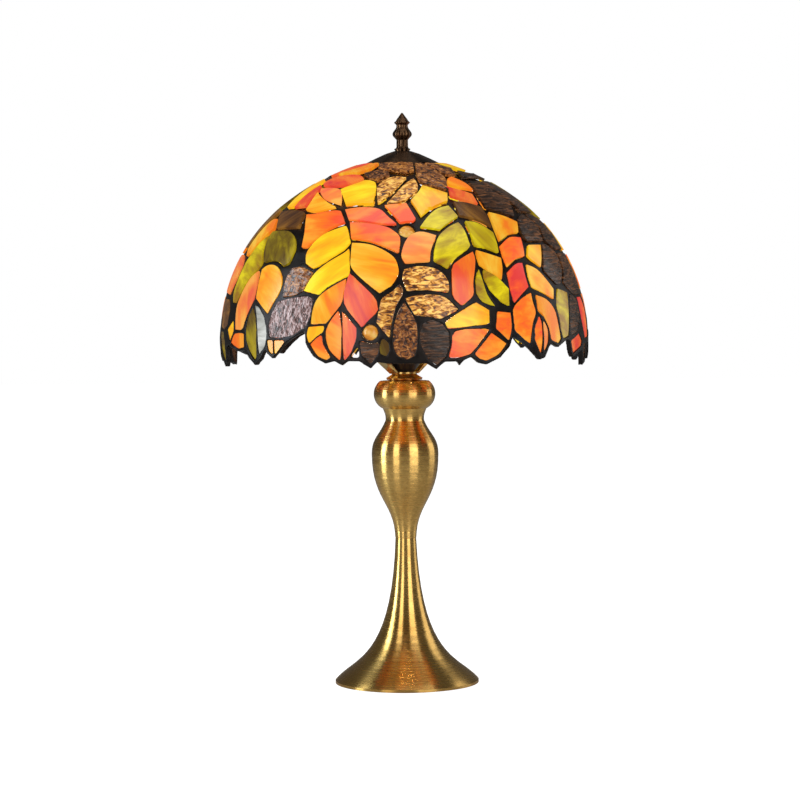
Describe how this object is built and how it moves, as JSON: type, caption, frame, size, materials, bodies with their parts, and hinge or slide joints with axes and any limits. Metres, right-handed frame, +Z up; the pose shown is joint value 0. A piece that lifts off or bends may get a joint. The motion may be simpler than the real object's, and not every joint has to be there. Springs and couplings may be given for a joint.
{
  "type": "stained glass table lamp",
  "caption": "Table lamp with a leaded art glass dome shade carried by a harp on a turned brass base.",
  "frame": {"origin": "centre of the felt underside, where the lamp stands on a table", "axes": "+Z up along the lamp; -Y is the front that shows the split leaf and jewels; the cable outlet is at +Y"},
  "size_m": [0.3036, 0.3034, 0.4717],
  "materials": {
    "antique_brass": "satin, aged",
    "bronze_patina": "dark antique patina",
    "lamp_brass": "satin",
    "steel": "zinc plated",
    "cast_weight": "painted",
    "felt": "felt",
    "black_phenolic": "moulded",
    "white_ceramic": "unglazed",
    "solder": "dark patina solder",
    "cap_metal": "plain",
    "bulb_frost": "frosted",
    "clear_glass": "clear",
    "glass_amber": "art glass",
    "glass_yellow": "art glass",
    "glass_orange": "art glass",
    "glass_red_orange": "art glass",
    "glass_peach": "art glass",
    "glass_olive": "art glass",
    "glass_olive_yellow": "art glass",
    "glass_brown": "art glass",
    "glass_brown_ripple": "ripple art glass",
    "glass_gold_ripple": "ripple art glass",
    "glass_mauve_ripple": "ripple art glass",
    "glass_dark": "streaky art glass",
    "glass_opal": "opal art glass",
    "glass_jewel": "pressed glass"
  },
  "bodies": {
    "root": {"felt_pad": "felt", "bottom_cover": "steel", "weight_disc": "cast_weight", "foot_trumpet": "antique_brass", "cable_grommet": "black_phenolic", "pipe_washer": "steel", "pipe_nut": "lamp_brass", "threaded_pipe": "steel", "waist_ring": "antique_brass", "baluster_body": "antique_brass", "neck_ball": "antique_brass", "top_collar": "antique_brass", "harp_saddle": "lamp_brass", "harp": "lamp_brass", "harp_stud": "lamp_brass", "socket_cap": "black_phenolic", "socket_body": "black_phenolic", "socket_base": "white_ceramic", "screw_shell": "lamp_brass", "socket_contact": "lamp_brass", "socket_ring": "black_phenolic"},
    "shade": {"crown_ring": "lamp_brass", "vase_cap": "bronze_patina", "solder_lattice": "solder", "glass_amber": "glass_amber", "glass_yellow": "glass_yellow", "glass_orange": "glass_orange", "glass_red_orange": "glass_red_orange", "glass_peach": "glass_peach", "glass_olive": "glass_olive", "glass_olive_yellow": "glass_olive_yellow", "glass_brown": "glass_brown", "glass_brown_ripple": "glass_brown_ripple", "glass_gold_ripple": "glass_gold_ripple", "glass_mauve_ripple": "glass_mauve_ripple", "glass_dark": "glass_dark", "glass_opal": "glass_opal", "glass_jewels": "glass_jewel"},
    "finial_washer": {"cap_washer": "bronze_patina"},
    "finial": {"finial": "bronze_patina"},
    "ferrule_left": {"harp_ferrule_left": "lamp_brass"},
    "ferrule_right": {"harp_ferrule_right": "lamp_brass"},
    "bulb_tip": {"bulb_contact": "cap_metal"},
    "bulb": {"bulb_cap": "cap_metal", "bulb_glass": "bulb_frost", "bulb_stem": "clear_glass", "filament": "steel"}
  },
  "joints": [
    {"name": "shade_turn", "type": "hinge", "parent": "root", "child": "shade", "pos_m": [0, 0, 0.4365], "axis": [0, 0, 1], "continuous": true},
    {"name": "finial_rise", "type": "slide", "parent": "root", "child": "finial_washer", "axis": [0, 0, 1], "range_m": [0, 0.0068]},
    {"name": "finial_turn", "type": "hinge", "parent": "finial_washer", "child": "finial", "pos_m": [0, 0, 0.45], "axis": [0, 0, 1], "range_deg": [0, 2297.9]},
    {"name": "ferrule_left_slide", "type": "slide", "parent": "root", "child": "ferrule_left", "axis": [0, 0, 1], "range_m": [0, 0.012]},
    {"name": "ferrule_right_slide", "type": "slide", "parent": "root", "child": "ferrule_right", "axis": [0, 0, 1], "range_m": [0, 0.012]},
    {"name": "bulb_rise", "type": "slide", "parent": "root", "child": "bulb_tip", "axis": [0, 0, 1], "range_m": [0, 0.0244]},
    {"name": "bulb_turn", "type": "hinge", "parent": "bulb_tip", "child": "bulb", "pos_m": [0, 0, 0.3], "axis": [0, 0, 1], "range_deg": [0, 2430]}
  ],
  "couplings": [
    {"joint": "finial_rise", "follows": "finial_turn", "m_per_rad": 0.00014961},
    {"joint": "bulb_rise", "follows": "bulb_turn", "m_per_rad": 0.00057296}
  ]
}
